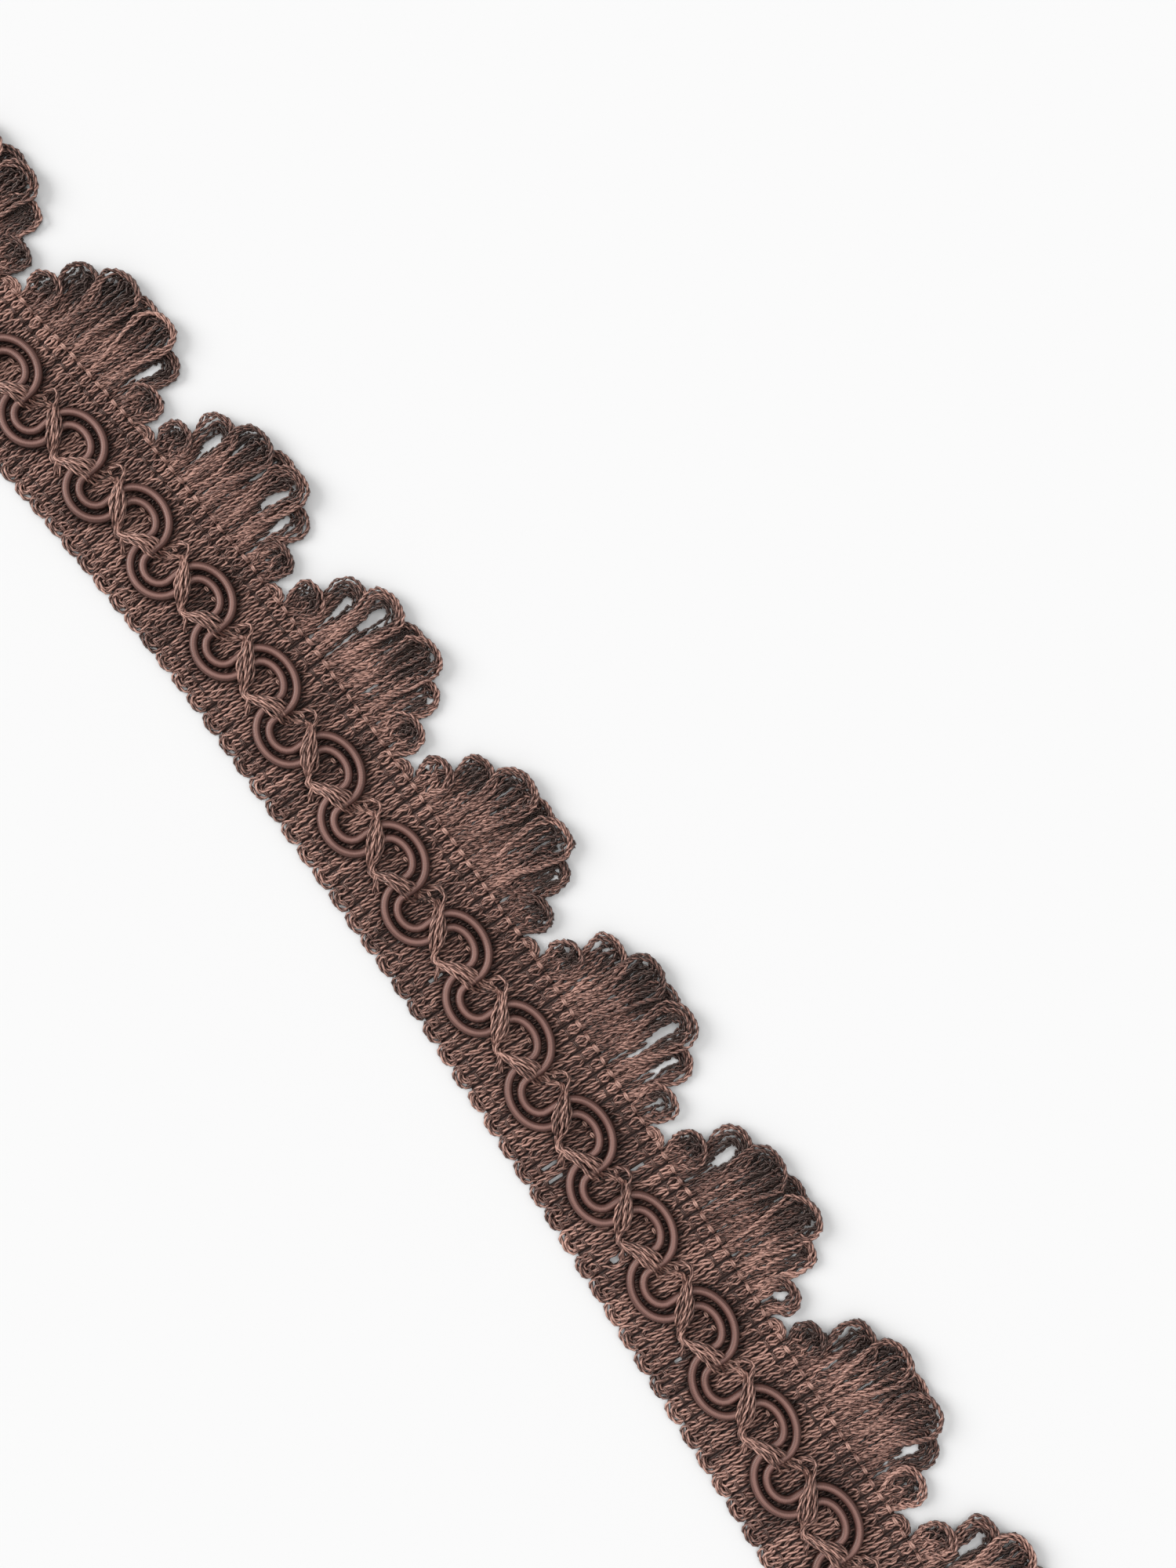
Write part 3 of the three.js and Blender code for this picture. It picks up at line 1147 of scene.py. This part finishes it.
@dataclass
class Picks:
    """The ground's picks: three thick yarns to a course, turned at the foot in picots."""

    shop: Workshop
    press: CordPress
    height: float = 0.98
    crown: float = 0.2
    bound_crown: float = 0.15
    sunk: float = 0.12  # under a chain row
    floor_gap: float = 0.03
    yarns: int = 3
    spread: float = 0.87
    pinched: float = 0.32
    hollow: float = 0.6
    # Painted shade where the cords and the tie hollow the ground.
    shade: float = 1.2
    yarn_width: float = 0.94
    pitch: float = 4.0
    wander: float = 0.34
    lift: float = 0.18
    step: float = 0.78
    samples: int = 70
    picot_step: float = 0.6
    picot_fullness: float = 1.2
    picot_dip: float = 0.28

    def leg(
        self, rng: np.random.Generator, course: int, position: int, across: np.ndarray
    ) -> np.ndarray:
        """Finds the way of one yarn of a course.

        Args:
            rng: Where its wander comes from.
            course: The course.
            position: The yarn's place in it, from the left.
            across: The distances across at which it is wanted.

        Returns:
            Scallops along, distances along and across, heights and painted shade, in columns.
        """
        t, last = (course + 0.5) / COURSES, self.yarns - 1
        held = pinch(across)
        crown = (self.crown + self.bound_crown * held) * (1 if 0 < position < last else 0)
        along = (position - last / 2) * (self.spread + (self.pinched - self.spread) * held)
        along = along + self.wander * (1 - 0.8 * held) * drift(rng, across, 5.0)
        along = along + sum(slit.part(t, along, across) for slit in SLITS)
        height = self.height + crown + self.lift * (1 - held) * drift(rng, across, 4.0)
        hollow = self.press.at(t + along / (COURSES * COURSE_PITCH), across)
        height = height - self.hollow * hollow - self.sunk * held
        height = np.maximum(height, self.yarn_width / 2 + self.floor_gap)
        # Painted shade: the yarn is darker where the cords and the tie hollow the ground.
        place, shade = np.full(len(across), t), self.shade * hollow
        return np.column_stack([place, along, across, height, shade])

    def picot(
        self, rng: np.random.Generator, yarn: int, begin: np.ndarray, end: np.ndarray
    ) -> np.ndarray:
        """Finds the way of one yarn round a picot.

        Args:
            rng: Where its unevenness comes from.
            yarn: Its place, from the outermost.
            begin: The last row of the leg that it comes from.
            end: The first row of the leg that it goes to.

        Returns:
            The same columns as a leg has.
        """
        left, right = begin[1] - COURSE_PITCH / 2, end[1] + COURSE_PITCH / 2
        centre, radius = (left + right) / 2, (right - left) / 2
        turn = np.linspace(math.pi, 2 * math.pi, 11)[1:-1]
        depth = Across.FOOT_OUTER.value - self.picot_step * yarn + rng.uniform(-0.12, 0.12)
        full = self.picot_fullness - 0.06 * yarn
        along = centre + full * radius * np.sign(np.cos(turn)) * np.abs(np.cos(turn)) ** 0.6
        across = Across.FOOT_OUTER.value + depth * np.sin(turn)
        lift = self.picot_dip * (yarn % 2) + rng.uniform(-0.05, 0.05)
        height = 0.5 * (begin[3] + end[3]) - (self.picot_dip - lift) * np.sin(turn - math.pi)
        middle = np.full(len(turn), (begin[0] + end[0]) / 2)
        return np.column_stack([middle, along, across, height, np.zeros(len(turn))])

    def strand(self, rng: np.random.Generator, pair: int, yarn: int) -> np.ndarray:
        """Finds one yarn's path from the head down to a picot and up again.

        Args:
            rng: Where its wander comes from.
            pair: The pair of courses that the picot joins.
            yarn: Its place in the left course, from the left.

        Returns:
            The path in metres, and the painted shade that darkens the yarn there.
        """
        down = np.linspace(Across.HEAD_OUTER.value, Across.FOOT_OUTER.value, self.samples)
        first = self.leg(rng, 2 * pair, yarn, down)
        second = self.leg(rng, 2 * pair + 1, self.yarns - 1 - yarn, down[::-1])
        turn = self.picot(rng, yarn, first[-1], second[0])
        t, along, across, height, shade = np.concatenate([first, turn, second]).T
        points = self.shop.line.place(t, across, height, along)
        return even_steps(np.column_stack([points, shade]), self.step * MM)

    def build(self, groups: int = 4) -> list[bpy.types.Object]:
        """Makes the picks.

        Args:
            groups: How many pieces they make, from end to end.

        Returns:
            The pieces.
        """
        rng = np.random.default_rng(11)
        pairs = COURSE_COUNT // 2
        made = []
        for group in range(groups):
            strands = Strands(rng)
            for pair in range(group * pairs // groups, (group + 1) * pairs // groups):
                tone = rng.uniform(0.38, 0.62)
                for yarn in range(self.yarns):
                    path = self.strand(rng, pair, yarn)
                    strands.add(path, tone + rng.uniform(-0.35, 0.35))
            name = f"ground_picks_{group + 1}"
            made.append(self.shop.spin(strands, name, self.pitch, self.yarn_width))
        return made


@dataclass(frozen=True)
class ChainRow:
    """One row of chain stitches, and the size of its links."""

    name: str
    across: float
    length: float
    width: float
    base: float
    arch: float
    tone: float
    radius: float = 0.17


CHAIN_ROWS = (
    ChainRow("foot_outer_row", Across.FOOT_OUTER.value, 1.9, 0.34, 0.95, 0.5, 0.2),
    ChainRow("foot_inner_row", Across.FOOT_INNER.value, 1.9, 0.34, 0.95, 0.5, -0.1),
    ChainRow("row_under_cords", Across.UNDER_CORDS.value, 1.2, 0.4, 1.15, 0.45, 1.1),
    ChainRow("head_inner_row", Across.HEAD_INNER.value, 1.9, 0.34, 1.0, 0.55, -0.05),
    ChainRow("head_outer_row", Across.HEAD_OUTER.value, 1.6, 0.42, 1.0, 1.1, 0.9, 0.24),
)


@dataclass
class Rows:
    """The chain rows that bind the picks."""

    shop: Workshop

    def build(self) -> list[bpy.types.Object]:
        """Makes each row."""
        made = []
        t = (np.arange(COURSE_COUNT) + 0.5) / COURSES
        for number, row in enumerate(CHAIN_ROWS):
            rng = np.random.default_rng(40 + number)
            along, across = rng.uniform(-0.15, 0.15, (2, len(t)))
            points = self.shop.line.place(t, row.across + across, row.base, along)
            tone = row.tone + rng.uniform(-0.25, 0.25, len(t))
            carried = {"turn": self.shop.line.turn(t), "tone": tone}
            piece = bare(row.name, points, np.empty((0, 2)), carried)
            values = {
                "Link length": row.length * MM,
                "Link width": row.width * MM,
                "Arch": row.arch * MM,
                "Strand radius": row.radius * MM,
                "Seed": 7 + number,
                "Finish": self.shop.stitch,
            }
            made.append(self.shop.stitch_tree.run(piece, values))
        return made


@dataclass(frozen=True)
class Loop:
    """A loop of the fringe: its size past the head's outer row, and the layer that it lies in."""

    height: float
    lean: float
    width: float
    layer: int


LOOPS = (
    Loop(7.1, -0.3, 7.8, 2),
    Loop(14.4, -1.3, 9.4, 1),
    Loop(18.1, 0.1, 10.2, 2),
    Loop(18.3, 1.4, 8.8, 0),
    Loop(18.2, 0.9, 9.8, 2),
    Loop(13.9, 0.9, 8.8, 0),
    Loop(7.4, 0.3, 8.4, 1),
)


@dataclass(frozen=True)
class Nested:
    """A yarn's place in a loop.

    Its legs' shares of the half-width, how much shorter it is, how far under the others it lies,
    and how much painted shade darkens its upper part for that.
    """

    left: float
    right: float
    drop: float
    under: float = 0.0
    shade: float = 0.0


NEST = (
    Nested(-1.0, 1.0, 0.0),
    Nested(-0.92, 0.92, 0.3),
    Nested(-0.83, 0.84, 0.6, 0.1, 0.2),
    Nested(-0.72, -0.1, 0.9, 0.5, 0.6),
    Nested(-0.52, 0.2, 1.2, 0.7, 1.0),
    Nested(-0.3, 0.42, 0.95, 0.9, 1.2),
    Nested(-0.05, 0.62, 0.85, 0.6, 0.8),
    Nested(0.25, 0.73, 1.05, 0.8, 0.7),
)
# Round an opening, each yarn further in is shorter, lies further under and has more painted shade.
OPEN_NEST = tuple(
    Nested(0.105 * yarn - 1, 1 - 0.105 * yarn, 0.35 * yarn, 0.05 * yarn, 0.16 * yarn)
    for yarn in range(len(NEST))
)
OPEN_LOOPS = (14, 18, 21, 22, 26, 27, 45, 46, 47, 50, 55, 62, 66)  # eight numbers to a scallop


def nest_of(number: int) -> tuple[Nested, ...]:
    """Finds how the yarns of a loop lie: spread, or all round an opening."""
    return OPEN_NEST if number in OPEN_LOOPS else NEST


@dataclass
class Fringe:
    """The loops past the head, their yarns nested, and a tiny loop at each notch."""

    shop: Workshop
    layer_heights: tuple[float, ...] = (0.5, 1.1, 1.7)
    root_height: float = 1.0
    uneven_lean: float = 0.7
    uneven_height: float = 0.5
    extra_height: float = 0.4
    edge_inset: float = 0.36  # the outermost yarn's middle, inside a loop's edge
    crown_height: float = 4.4  # the most that a loop's round end takes
    leg_spread: float = 1.35
    root: float = 0.25  # how far below the head's outer row the yarns start
    parting_height: float = 0.9  # above the floor, where the layers part
    wander_steps: float = 9.0
    notch_height: float = 2.0
    notch_yarns: int = 4
    fillers: int = 56
    filler_pitch: float = 4.0
    filler_sides: int = 3
    filler_step: float = 0.9
    lowest: float = 0.4
    yarn_width: float = 0.86
    pitch: float = 3.1
    step: float = 0.64

    def strand(
        self, rng: np.random.Generator, t: float, loop: Loop, number: int, yarn: int
    ) -> np.ndarray:
        """Finds one yarn's path round a loop.

        Args:
            rng: Where its own unevenness comes from.
            t: The loop's place, in scallops along.
            loop: Its row of the table.
            number: Its number from the cut end, for the unevenness that the whole loop has.
            yarn: The yarn's place, from the outermost.

        Returns:
            The path in metres.
        """
        nest = nest_of(number)[yarn]
        size = (loop.height / 18) ** 0.5
        height = loop.height + self.uneven_height * uneven(2 * number) + self.extra_height
        height += rng.uniform(-0.35, 0.3) * (1 + 2 * nest.under) - nest.drop * size
        lean = loop.lean + self.uneven_lean * uneven(2 * number + 1)
        outer = loop.width / 2 - self.edge_inset
        half = outer * (nest.right - nest.left) / 2 * (1 + rng.uniform(-0.06, 0.04))
        middle = outer * (nest.right + nest.left) / 2
        middle += rng.uniform(-1, 1) * (0.3 + 0.1 * nest.under)
        belly = max(0.5 * height, height - min(self.crown_height, 1.0 + half))
        ways = []
        for side, share in ((-1, -nest.left), (1, nest.right)):
            leg = side * (COURSE_PITCH / 2 + self.leg_spread * (share - 0.4))
            out, above = side * half, height - belly
            ways.append(
                [
                    (leg, -self.root),
                    (leg, 0.5),
                    (0.66 * leg + 0.34 * (middle + out), 0.46 * belly),
                    (middle + out, belly),
                    (middle + 0.9 * out, belly + 0.58 * above),
                    (middle + 0.52 * out, belly + 0.9 * above),
                ]
            )
        x, y = smooth_path(np.array(ways[0] + [(middle, height)] + ways[1][::-1])).T
        steps = np.arange(len(y))
        rise = np.clip(y / loop.height, 0, 1)
        x = x + lean * rise**1.3
        wander = (0.4 + 0.4 * nest.under) * np.clip(y / 2, 0, 1)
        x = x + wander * drift(rng, steps, self.wander_steps)
        settled = np.clip(y / 4.0, 0, 1) ** 0.8
        parted = np.clip(1.6 * rise - 0.3, 0, 1)
        apart = self.layer_heights[loop.layer] - self.parting_height
        level = self.parting_height + apart * parted
        level = level + (0.45 - 0.4 * (yarn % 2) - nest.under) * rise
        level = level + 0.3 * rng.uniform(0, 1) * rise**2
        z = (self.root_height + 0.25 - 0.5 * (yarn % 2)) * (1 - settled) + level * settled
        z = z + 0.16 * drift(rng, steps, 10.0)
        across = Across.HEAD_OUTER.value + y
        points = self.shop.line.place(t, across, np.maximum(z, self.lowest), x)
        # Painted shade on the loop's upper part, more for yarns that lie under the others.
        shade = nest.shade * np.clip((y / height - 0.45) / 0.35, 0, 1)
        return even_steps(np.column_stack([points, shade]), self.step * MM)

    def notch(self, rng: np.random.Generator, t: float, yarn: int) -> np.ndarray:
        """Finds one yarn's path round the tiny loop at a notch.

        Args:
            rng: Where its unevenness comes from.
            t: The notch's place, in scallops along.
            yarn: The yarn's place, from the outermost.

        Returns:
            The path in metres.
        """
        leg = COURSE_PITCH / 2 + 0.6 * (1.5 - yarn)
        height = self.notch_height - self.edge_inset - 0.38 * yarn + rng.uniform(-0.15, 0.15)
        turn = np.linspace(0, math.pi, 15)
        rise = (height + self.root) * np.sin(turn) ** 0.8
        across = Across.HEAD_OUTER.value - self.root + rise
        lift = 1.05 + 0.2 * (yarn % 2) + 0.1 * np.sin(turn)
        points = self.shop.line.place(t, across, lift, -leg * np.cos(turn))
        return even_steps(points, self.step * MM)

    def filler(self, rng: np.random.Generator, scallop: int, share: float) -> np.ndarray:
        """Finds the path of a yarn that lies flat under the loops, out to a little inside them.

        Args:
            rng: Where its unevenness comes from.
            scallop: Its scallop.
            share: Its place in that, from 0 to 1.

        Returns:
            The path in metres, and the painted shade that darkens the yarn there.
        """
        tops = [2.0, *(loop.height for loop in LOOPS), 2.0]
        reach = float(np.interp(share * 8, range(9), tops)) - rng.uniform(0.7, 1.5)
        place = 8 * (scallop + share)
        beside = abs(place - round(place)) / 0.42
        full = reach
        if round(place) in OPEN_LOOPS and beside < 1:
            reach *= 0.46 + 0.4 * beside
        y = np.linspace(-0.2, reach, 12)
        x = 4.8 * (share - 0.5) * np.clip(y / 18, 0, 1) ** 1.3 + 0.3 * drift(rng, y, 9.0)
        z = 0.45 + 0.55 * np.clip(1 - y / 3, 0, 1) + 0.08 * drift(rng, y, 4.0)
        across, z = Across.HEAD_OUTER.value + y, np.maximum(z, self.lowest)
        points = self.shop.line.place(scallop + share, across, z, x)
        # Painted shade, from four tenths of the way out to the far end, where the yarn lies under
        # the loops' tops.
        shade = 1.1 * np.clip((y / full - 0.4) / 0.35, 0, 1)
        return even_steps(np.column_stack([points, shade]), self.filler_step * MM)

    def under(self) -> bpy.types.Object:
        """Makes the yarns under the loops."""
        rng = np.random.default_rng(29)
        strands = Strands(rng)
        for scallop in range(SCALLOPS):
            for number in range(self.fillers):
                share = 0.06 + 0.88 * (number + rng.uniform(0.2, 0.8)) / self.fillers
                strands.add(self.filler(rng, scallop, share), rng.uniform(0.1, 0.4))
        return self.shop.spin(
            strands, "loop_fringe_under", self.filler_pitch, self.yarn_width, self.filler_sides
        )

    def build(self, groups: int = 3) -> list[bpy.types.Object]:
        """Makes the fringe.

        Args:
            groups: How many pieces each layer of its loops makes, from end to end.

        Returns:
            The pieces.
        """
        rng = np.random.default_rng(23)
        made = [self.under()]
        for group in range(groups):
            strands, inner = Strands(rng), Strands(rng)
            for scallop in range(group * SCALLOPS // groups, (group + 1) * SCALLOPS // groups):
                if scallop > 0:
                    for yarn in range(self.notch_yarns):
                        strands.add(self.notch(rng, scallop, yarn), rng.uniform(0.2, 0.8))
                for i, loop in enumerate(LOOPS):
                    t = scallop + (i + 1) / 8
                    tone = rng.uniform(0.1, 0.4)
                    for yarn, nest in enumerate(nest_of(round(t * 8))):
                        path = self.strand(rng, t, loop, round(t * 8), yarn)
                        layer = strands if nest.under < 0.4 else inner
                        layer.add(path, tone + rng.uniform(-0.4, 0.45))
            for layer, name in ((strands, "loop_fringe"), (inner, "loop_fringe_inner")):
                name = f"{name}_{group + 1}"
                made.append(self.shop.spin(layer, name, self.pitch, self.yarn_width))
        return made


@dataclass
class WrappedCords:
    """The two satin-wrapped cords."""

    shop: Workshop
    radius: float = 0.86
    height: float = 2.4
    step: float = 1.0
    sides: int = 16
    inset: float = 0.02  # of each cut end, in periods
    wander: float = 0.12

    def build(self) -> list[bpy.types.Object]:
        """Makes both cords."""
        made = []
        rng = np.random.default_rng(5)
        for way in CORD_WAYS:
            flat = way.flat(-1, WAVE_COUNT)
            flat = flat[(flat[:, 0] >= self.inset) & (flat[:, 0] <= WAVE_COUNT - self.inset)]
            across = flat[:, 1] + self.wander * drift(rng, flat[:, 0], 3.0)
            points = smooth_path(self.shop.line.place(flat[:, 0] / WAVES, across, self.height), 3)
            strands = Strands(rng)
            strands.add(even_steps(points, self.step * MM), 0.5)
            piece = strands.object(f"{way.name}_wrapped")
            values = {"Radius": self.radius * MM, "Sides": self.sides, "Finish": self.shop.cord}
            made.append(self.shop.cord_tree.run(piece, values))
        return made


@dataclass(frozen=True)
class TieStep:
    """A point of the zigzag tie's way, from a peak down to a valley and up again."""

    share: float
    across: float
    lift: float
    width: float


OVER_TIE = (
    TieStep(0.15, 15.4, 0.85, 2.4),
    TieStep(0.26, 13.5, 0.95, 3.7),
    TieStep(0.36, 11.6, 0.8, 3.6),
    TieStep(0.43, 10.1, 0.15, 1.7),
    TieStep(0.49, 9.3, 0.3, 1.5),
    TieStep(0.56, 10.2, 0.4, 1.9),
    TieStep(0.64, 11.5, 0.85, 2.8),
    TieStep(0.73, 12.5, 0.95, 3.6),
    TieStep(0.82, 13.2, 0.75, 4.2),
)
PEAK_ARCH = (
    TieStep(0.89, 14.0, 0.05, 2.6),
    TieStep(0.92, 15.4, -0.1, 1.8),
    TieStep(0.935, 16.5, 0.15, 1.7),
    TieStep(0.965, 17.6, 0.45, 1.7),
    TieStep(1.01, 18.0, 0.55, 1.7),
    TieStep(1.055, 17.4, 0.5, 1.7),
    TieStep(1.09, 16.4, 0.6, 1.7),
)
PEAK_UNDER = (
    TieStep(0.87, 13.6, 0.15, 4.2),
    TieStep(0.91, 14.1, -0.28, 3.8),
    TieStep(0.96, 14.9, -0.28, 2.2),
    TieStep(1.02, 15.8, -0.28, 1.6),
    TieStep(1.07, 16.3, 0.25, 1.7),
)


@dataclass
class ZigzagTie:
    """The bundle of yarns that crosses the cords, with its loose ends."""

    shop: Workshop
    yarns: int = 7
    arched: int = 2  # of them, over a peak in a small arch, while the rest pass under the picks
    ends: int = 3  # at each valley
    crest: float = 0.12
    low: float = 1.3
    over: float = 3.6
    layer: float = 0.5
    width: float = 0.84
    pitch: float = 4.6
    step: float = 0.86
    inset: float = 0.03  # of the cut end, in periods

    def strand(self, rng: np.random.Generator, yarn: int) -> np.ndarray:
        """Finds one yarn's path along the whole trim.

        Args:
            rng: Where its unevenness comes from.
            yarn: Its place in the bundle.

        Returns:
            The path in metres.
        """
        stations = []
        place = 2 * yarn / (self.yarns - 1) - 1
        peak = PEAK_ARCH if yarn >= self.yarns - self.arched else PEAK_UNDER
        for wave in range(WAVE_COUNT):
            for step in OVER_TIE + peak:
                period = wave + self.crest + step.share
                if period > WAVE_COUNT - self.inset:
                    break
                side = place * (step.width - self.width) / 2 + rng.uniform(-0.3, 0.3)
                height = self.low + (self.over - self.low) * step.lift + rng.uniform(-0.08, 0.08)
                heap = self.layer * (yarn % 2) + 0.3 * (1 - place**2)
                height += heap * max(0, 0.3 + 0.7 * step.lift)
                stations.append((period * CordPress.PERIOD, step.across, height, side))
        x, across, height, side = smooth_path(np.array(stations), 5).T
        way = np.stack([np.gradient(x), np.gradient(across)])
        way /= np.linalg.norm(way, axis=0)
        t = (x - side * way[1]) / CordPress.PERIOD / WAVES
        points = self.shop.line.place(t, across + side * way[0], height)
        return even_steps(points, self.step * MM)

    def tail(self, rng: np.random.Generator, wave: int, nest: int) -> np.ndarray:
        """Finds the path of a loose end under a valley.

        Args:
            rng: Where its unevenness comes from.
            wave: The valley's period.
            nest: The end's place among those of the valley.

        Returns:
            The path in metres.
        """
        t = (wave + self.crest + 0.5) / WAVES
        reach = rng.uniform(2.2, 3.4)
        drop = 1.1 + 0.45 * nest + rng.uniform(-0.2, 0.3)
        way = np.array(
            [
                (-0.5, 10.2, 1.6),
                (0.35 * reach, 9.9 - 0.35 * drop, 2.15 + 0.2 * nest),
                (0.75 * reach, 9.6 - 0.8 * drop, 1.9),
                (reach, 9.8 - drop - rng.uniform(0, 0.5), 1.45),
            ]
        )
        along, across, height = smooth_path(way, 6).T
        return even_steps(self.shop.line.place(t, across, height, along), self.step * MM)

    def build(self) -> list[bpy.types.Object]:
        """Makes the tie and its ends."""
        rng = np.random.default_rng(31)
        bundle, ends = Strands(rng), Strands(rng)
        for yarn in range(self.yarns):
            bundle.add(self.strand(rng, yarn), rng.uniform(0.3, 0.85))
        for wave in range(WAVE_COUNT):
            for nest in range(self.ends):
                ends.add(self.tail(rng, wave, nest), rng.uniform(0.3, 0.8))
        return [
            self.shop.spin(bundle, "tie_yarns", self.pitch, self.width),
            self.shop.spin(ends, "tie_loose_ends", self.pitch, self.width),
        ]


# ---- The studio ------------------------------------------------------------------------------


@dataclass
class Studio:
    """The floor, the lights and the camera over the trim."""

    line: TrimLine
    distance: float = 0.42
    lens: float = 50.0
    tilt: float = math.radians(3.6)
    strip_turn: float = math.radians(54.5)
    aim: tuple[float, float] = (-3.4, 27.6)  # from the line's shift to the middle of the view
    floor_reach: float = 30.0
    fill: float = 0.575
    key: float = 1.95
    overhead: float = 0.42

    def floor(self) -> None:
        """Makes the pale floor."""
        mesh = bpy.data.meshes.new("floor")
        signs = ((-1, -1), (1, -1), (1, 1), (-1, 1))
        corners = [(x * self.floor_reach, y * self.floor_reach, 0.0) for x, y in signs]
        mesh.from_pydata(corners, [], [(0, 1, 2, 3)])
        finish = bpy.data.materials.new("pale_floor")
        finish.use_nodes = True
        inputs = finish.node_tree.nodes["Principled BSDF"].inputs
        inputs["Base Color"].default_value = (0.93, 0.93, 0.93, 1.0)
        inputs["Roughness"].default_value = 0.9
        inputs["Specular IOR Level"].default_value = 0.1
        mesh.materials.append(finish)
        linked(bpy.data.objects.new("floor", mesh))

    def camera(self) -> None:
        """Makes the camera, nearly straight above the middle of the view."""
        along = Vector((math.cos(self.strip_turn), math.sin(self.strip_turn), 0.0))
        up = Vector((-math.sin(self.strip_turn), math.cos(self.strip_turn), 0.0))
        centre = Vector((*(self.line.shift + self.aim), 0.0)) * MM
        data = bpy.data.cameras.new("camera")
        data.sensor_width = 36.0
        data.sensor_fit = "AUTO"
        data.lens = self.lens
        data.clip_start = 0.01
        camera = linked(bpy.data.objects.new("camera", data))
        back = (Vector((0, 0, 1)) * math.cos(self.tilt) - up * math.sin(self.tilt)).normalized()
        turned = Matrix((along, back.cross(along), back)).transposed().to_4x4()
        camera.matrix_world = Matrix.Translation(centre + back * self.distance) @ turned
        bpy.context.scene.camera = camera

    def lamp(self, name: str, place: Vector, width: float, strength: float) -> None:
        """Makes a soft, even light from far off.

        Args:
            name: The lamp's name.
            place: The direction that it shines from.
            width: Its width as an angle.
            strength: Its irradiance.
        """
        data = bpy.data.lights.new(name, "SUN")
        data.angle = width
        data.energy = strength
        lamp = linked(bpy.data.objects.new(name, data))
        lamp.matrix_world = place.to_track_quat("Z", "Y").to_matrix().to_4x4()

    def light(self) -> None:
        """Makes the key light from the picture's left, one overhead and an even fill."""
        world = bpy.data.worlds.new("soft_fill")
        world.use_nodes = True
        inputs = world.node_tree.nodes["Background"].inputs
        inputs["Color"].default_value = (1, 1, 1, 1)
        inputs["Strength"].default_value = self.fill
        bpy.context.scene.world = world
        self.lamp("key", Vector((-0.77, -0.6, 0.62)), math.radians(40), self.key)
        self.lamp("overhead", Vector((0.05, 0.25, 1.0)), math.radians(30), self.overhead)
        bpy.context.scene.view_settings.view_transform = "Standard"

    def build(self) -> None:
        """Makes it all."""
        self.floor()
        self.camera()
        self.light()


def declare(pieces: list[bpy.types.Object], node: str) -> None:
    """Says what pieces ride on and what they stand for, and reports them.

    Args:
        pieces: The pieces.
        node: The solid that they stand for.
    """
    for piece in pieces:
        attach(piece, "root")
        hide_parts(node)
        count = sum(len(polygon.vertices) - 2 for polygon in piece.data.polygons)
        log.info("%s: %d triangles", piece.name, count)


def main() -> None:
    """Builds the trim, piece by piece."""
    logging.basicConfig(level=logging.INFO, format="%(name)s: %(message)s")
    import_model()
    line = TrimLine()
    line.settle("ground")
    Studio(line).build()
    shop = Workshop(
        line=line,
        yarn_tree=SpunYarnTree(),
        cord_tree=WrappedCordTree(),
        stitch_tree=ChainStitchTree(),
        yarn=YARN.material(),
        stitch=STITCH_YARN.material(),
        cord=WrappedCordFinish().material(),
        back=GroundFinish().material(),
    )
    core = GroundCore(shop).build()
    picks = Picks(shop, CordPress(ZigzagTie.crest)).build()
    rows = Rows(shop).build()
    declare([core, *picks, *rows], "ground")
    fringe = Fringe(shop).build()
    declare(fringe, "loop_fringe")
    for piece, way in zip(WrappedCords(shop).build(), CORD_WAYS):
        declare([piece], way.name)
    tie = ZigzagTie(shop).build()
    declare(tie, "tie_bundle")


if __name__ == "__main__":
    main()
